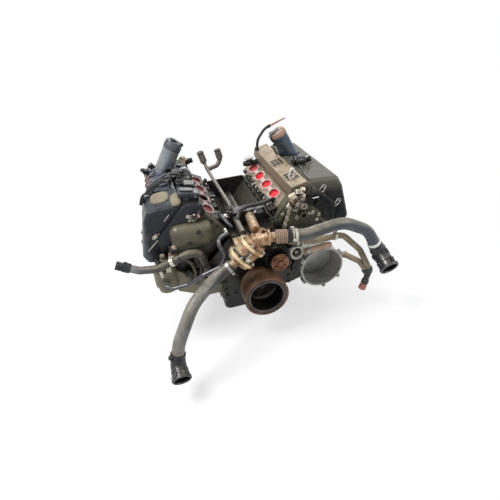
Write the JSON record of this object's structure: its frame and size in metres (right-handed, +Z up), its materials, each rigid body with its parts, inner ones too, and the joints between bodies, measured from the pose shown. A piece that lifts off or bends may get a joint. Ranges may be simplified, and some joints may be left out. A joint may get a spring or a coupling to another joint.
{
  "type": "car engine",
  "caption": "Stripped V-form petrol engine with cam covers, coolant hoses, crank pulley, open intake ports and an empty alternator housing.",
  "frame": {"origin": "on the crankshaft axis at the rear face of the cylinder block", "axes": "-Y towards the front of the engine (the pulley end) along the crankshaft, +Z up between the banks, +X towards the bank on the right when the pulley end is looked at"},
  "size_m": [0.9762, 0.8509, 0.6685],
  "materials": {
    "cast_iron_black": "oily black cast surface",
    "cast_aluminium": "rough cast, dull",
    "machined_steel": "machined",
    "bearing_metal": "smooth bearing shell",
    "rusty_steel": "rust brown with bare ribs",
    "dark_steel": "dark fasteners",
    "head_right_alloy": "warm stained cast",
    "head_left_alloy": "dull cast",
    "cover_tan": "beige dusty coating",
    "cover_grey": "grey dusty coating",
    "cover_plastic": "satin black with dust",
    "olive_cast": "olive grey dusty cast",
    "black_plastic": "dusty moulded",
    "ceramic": "white ceramic and steel",
    "gasket": "pale pink moulded",
    "gasket_dark": "dark layered steel",
    "red_plug": "red moulded",
    "motor_blue_grey": "dark blue grey",
    "motor_silver": "turned silver",
    "gold_stained": "cream cast with gold stains",
    "pale_aluminium": "pale cast",
    "hose_rubber": "dusty grey rubber",
    "hose_tan": "tan dusty rubber",
    "bright_pipe": "steel pipe",
    "brass_body": "stained solenoid"
  },
  "bodies": {
    "engine": {"accessory_bracket": "cast_aluminium", "alternator_housing": "pale_aluminium", "bedplate": "cast_iron_black", "cam_caps": "cast_aluminium", "cam_cover_left": "cover_grey", "cam_cover_right": "cover_tan", "cam_solenoids": "brass_body", "crank_seals": "gasket_dark", "crossover_housing": "cast_iron_black", "cylinder_head_left": "head_left_alloy", "cylinder_head_right": "head_right_alloy", "engine_block": "cast_iron_black", "engine_mounts": "cast_aluminium", "head_bolts": "dark_steel", "head_gaskets": "gasket_dark", "ignition_coils": "black_plastic", "intake_gaskets": "gasket", "left_coolant_hose": "hose_rubber", "lift_gear_housing": "cast_aluminium", "lower_hose": "hose_rubber", "main_bearings": "bearing_metal", "oil_filter_housing": "olive_cast", "oil_sump": "cast_aluminium", "outer_cover_left": "cover_plastic", "outer_cover_right": "cover_plastic", "port_plugs": "red_plug", "right_heater_hose": "hose_tan", "spark_plugs": "ceramic", "steel_pipes": "bright_pipe", "sump_drain_plug": "dark_steel", "sump_pan": "cast_iron_black", "thermostat_housing": "gold_stained", "timing_case_lower": "cast_iron_black", "timing_case_upper_left": "olive_cast", "timing_case_upper_right": "olive_cast", "timing_chains": "dark_steel", "upper_hose": "hose_rubber", "valley_tray": "black_plastic", "valve_lift_motor_left": "motor_silver", "valve_lift_motor_right": "motor_blue_grey", "valves": "machined_steel", "water_pump_body": "cast_iron_black"},
    "crank": {"crankshaft": "machined_steel", "crank_sprocket": "machined_steel", "crank_pulley": "rusty_steel", "crank_bolts": "dark_steel", "flexplate": "machined_steel"},
    "water_pump_spindle": {"water_pump_rotor": "rusty_steel"},
    "piston_right_1": {"piston_right_1": "bearing_metal"},
    "piston_right_2": {"piston_right_2": "bearing_metal"},
    "piston_right_3": {"piston_right_3": "bearing_metal"},
    "piston_right_4": {"piston_right_4": "bearing_metal"},
    "cam_intake_right": {"camshaft_intake_right": "machined_steel"},
    "cam_exhaust_right": {"camshaft_exhaust_right": "machined_steel"},
    "piston_left_1": {"piston_left_1": "bearing_metal"},
    "piston_left_2": {"piston_left_2": "bearing_metal"},
    "piston_left_3": {"piston_left_3": "bearing_metal"},
    "piston_left_4": {"piston_left_4": "bearing_metal"},
    "cam_intake_left": {"camshaft_intake_left": "machined_steel"},
    "cam_exhaust_left": {"camshaft_exhaust_left": "machined_steel"}
  },
  "joints": [
    {"name": "crank_spin", "type": "hinge", "parent": "engine", "child": "crank", "pos_m": [0, -0.25, 0], "axis": [0, -1, 0], "continuous": true},
    {"name": "cam_intake_right_spin", "type": "hinge", "parent": "engine", "child": "cam_intake_right", "pos_m": [0.20789, -0.25, 0.27294], "axis": [0, -1, 0], "continuous": true},
    {"name": "cam_exhaust_right_spin", "type": "hinge", "parent": "engine", "child": "cam_exhaust_right", "pos_m": [0.27294, -0.25, 0.20789], "axis": [0, -1, 0], "continuous": true},
    {"name": "cam_intake_left_spin", "type": "hinge", "parent": "engine", "child": "cam_intake_left", "pos_m": [-0.20789, -0.25, 0.27294], "axis": [0, -1, 0], "continuous": true},
    {"name": "cam_exhaust_left_spin", "type": "hinge", "parent": "engine", "child": "cam_exhaust_left", "pos_m": [-0.27294, -0.25, 0.20789], "axis": [0, -1, 0], "continuous": true},
    {"name": "water_pump_spin", "type": "hinge", "parent": "engine", "child": "water_pump_spindle", "pos_m": [0.066, -0.56, 0.108], "axis": [0, -1, 0], "continuous": true},
    {"name": "piston_right_1_slide", "type": "slide", "parent": "engine", "child": "piston_right_1", "axis": [0.7071, 0, 0.7071], "range_m": [-0.06745, 0.01515]},
    {"name": "piston_right_2_slide", "type": "slide", "parent": "engine", "child": "piston_right_2", "axis": [0.7071, 0, 0.7071], "range_m": [-0.06745, 0.01515]},
    {"name": "piston_right_3_slide", "type": "slide", "parent": "engine", "child": "piston_right_3", "axis": [0.7071, 0, 0.7071], "range_m": [-0.00897, 0.07363]},
    {"name": "piston_right_4_slide", "type": "slide", "parent": "engine", "child": "piston_right_4", "axis": [0.7071, 0, 0.7071], "range_m": [-0.00897, 0.07363]},
    {"name": "piston_left_1_slide", "type": "slide", "parent": "engine", "child": "piston_left_1", "axis": [-0.7071, 0, 0.7071], "range_m": [-0.06745, 0.01515]},
    {"name": "piston_left_3_slide", "type": "slide", "parent": "engine", "child": "piston_left_3", "axis": [-0.7071, 0, 0.7071], "range_m": [-0.06745, 0.01515]},
    {"name": "piston_left_2_slide", "type": "slide", "parent": "engine", "child": "piston_left_2", "axis": [-0.7071, 0, 0.7071], "range_m": [-0.00897, 0.07363]},
    {"name": "piston_left_4_slide", "type": "slide", "parent": "engine", "child": "piston_left_4", "axis": [-0.7071, 0, 0.7071], "range_m": [-0.00897, 0.07363]}
  ],
  "couplings": [
    {"joint": "cam_intake_right_spin", "follows": "crank_spin", "ratio": 0.5},
    {"joint": "cam_exhaust_right_spin", "follows": "crank_spin", "ratio": 0.5},
    {"joint": "cam_intake_left_spin", "follows": "crank_spin", "ratio": 0.5},
    {"joint": "cam_exhaust_left_spin", "follows": "crank_spin", "ratio": 0.5}
  ]
}
